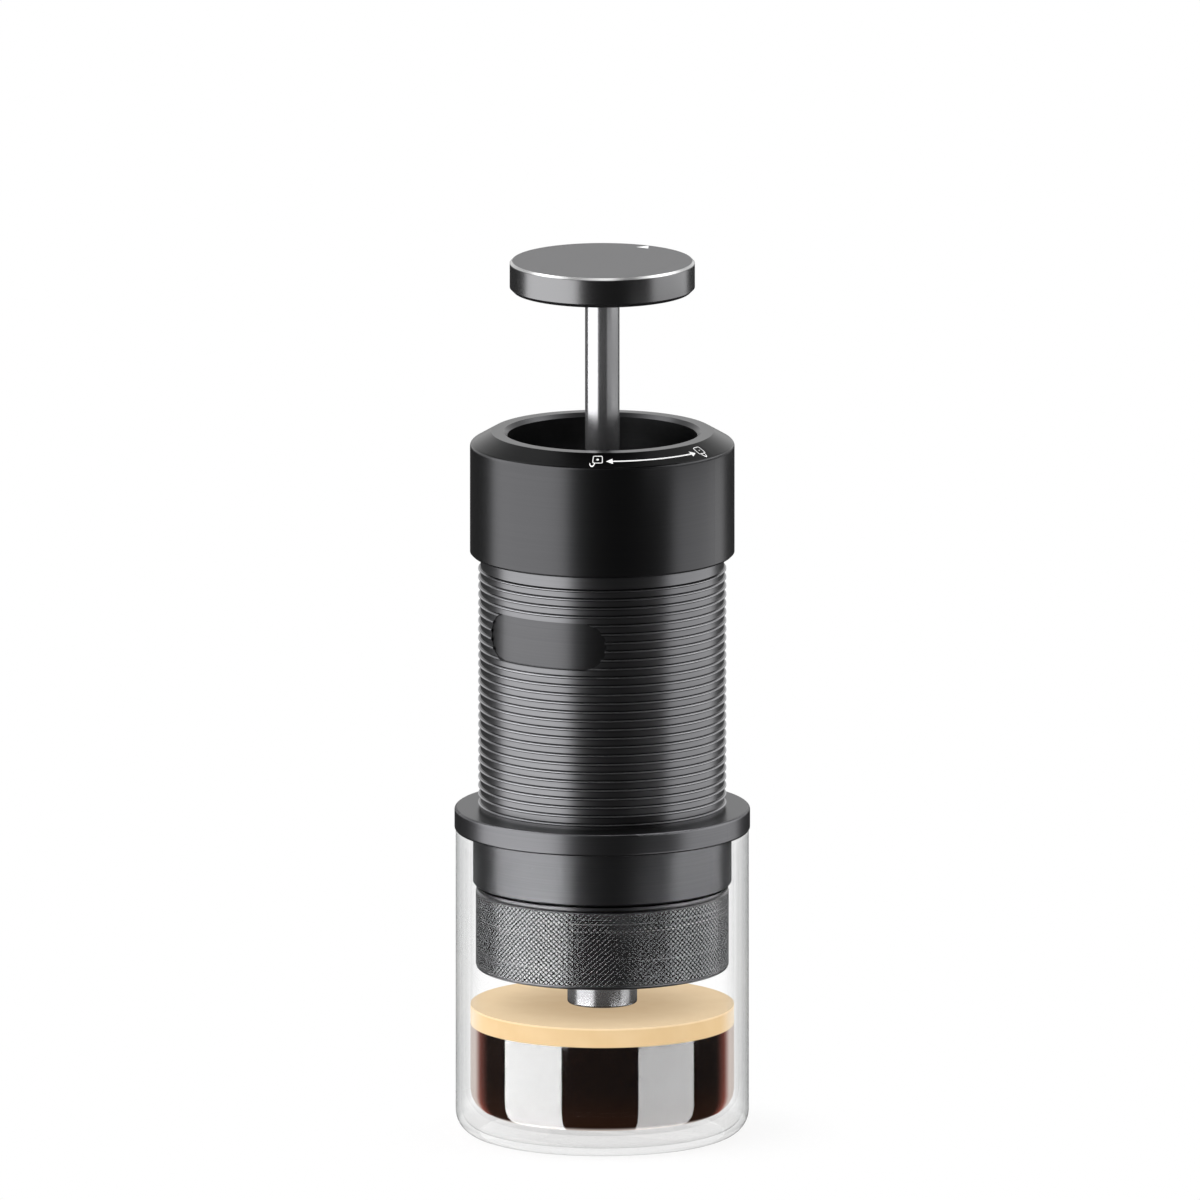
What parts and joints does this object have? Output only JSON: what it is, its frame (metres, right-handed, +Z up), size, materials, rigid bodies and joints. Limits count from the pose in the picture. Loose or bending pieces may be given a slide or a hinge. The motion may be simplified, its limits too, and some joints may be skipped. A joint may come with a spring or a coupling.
{
  "type": "manual espresso maker",
  "caption": "Handheld manual espresso maker: sprung pump plunger, screw-on collar, ribbed grip and knurled filter holder, standing on its double-wall glass cup.",
  "frame": {"origin": "centre of the cup's flat base, on the surface it stands on", "axes": "+Z up along the plunger, the grip's plain pad faces -Y, +X to its right"},
  "size_m": [0.0686, 0.0686, 0.2061],
  "materials": {
    "clear_glass": "clear, fire polished",
    "dark_anodised": "satin dark grey anodised",
    "black_anodised": "satin black anodised",
    "grey_anodised": "fine brushed grey anodised",
    "polished_steel": "polished stainless",
    "drawn_steel": "satin stainless",
    "turned_steel": "turned stainless",
    "black_moulding": "fine matt moulding",
    "silicone": "matt silicone"
  },
  "bodies": {
    "cup": {"glass_cup": "clear_glass"},
    "maker": {"brew_head": "dark_anodised", "grip_sleeve": "dark_anodised", "water_tank": "drawn_steel", "tank_washer": "silicone", "tank_nut": "turned_steel", "outlet_valve": "silicone", "shower_screen": "drawn_steel", "group_gasket": "silicone"},
    "head_gasket": {"head_gasket": "silicone"},
    "pump_head": {"top_collar": "black_anodised", "pump_cylinder": "drawn_steel", "pump_foot": "black_moulding", "spigot_oring": "silicone", "inlet_valve": "silicone", "lock_post": "turned_steel", "guide_bush": "black_moulding", "rod_wiper": "silicone", "cap_screws": "turned_steel", "return_spring": "turned_steel"},
    "piston_seal": {"piston_seal": "silicone"},
    "plunger": {"piston_head": "black_moulding", "plunger_rod": "polished_steel", "plunger_plate": "grey_anodised"},
    "filter_basket": {"filter_basket": "drawn_steel"},
    "filter_holder": {"filter_holder": "dark_anodised", "spout": "polished_steel", "spout_seal": "silicone"}
  },
  "joints": [
    {"name": "maker_lift", "type": "slide", "parent": "cup", "child": "maker", "axis": [0, 0, 1], "range_m": [0, 0.07]},
    {"name": "collar_lift", "type": "slide", "parent": "maker", "child": "head_gasket", "axis": [0, 0, 1], "range_m": [0, 0.075]},
    {"name": "collar_turn", "type": "hinge", "parent": "head_gasket", "child": "pump_head", "pos_m": [0, 0, 0], "axis": [0, 0, 1], "range_deg": [0, 540]},
    {"name": "plunger_stroke", "type": "slide", "parent": "pump_head", "child": "piston_seal", "axis": [0, 0, 1], "range_m": [-0.0404, 0], "stiffness_N_per_m": 250, "springref_m": 0.02, "deforming": ["return_spring"]},
    {"name": "plunger_turn", "type": "hinge", "parent": "piston_seal", "child": "plunger", "pos_m": [0, 0, 0], "axis": [0, 0, 1], "continuous": true},
    {"name": "basket_drop", "type": "slide", "parent": "maker", "child": "filter_basket", "axis": [0, 0, 1], "range_m": [-0.022, 0]},
    {"name": "holder_turn", "type": "hinge", "parent": "filter_basket", "child": "filter_holder", "pos_m": [0, 0, 0], "axis": [0, 0, 1], "range_deg": [-540, 0]}
  ]
}
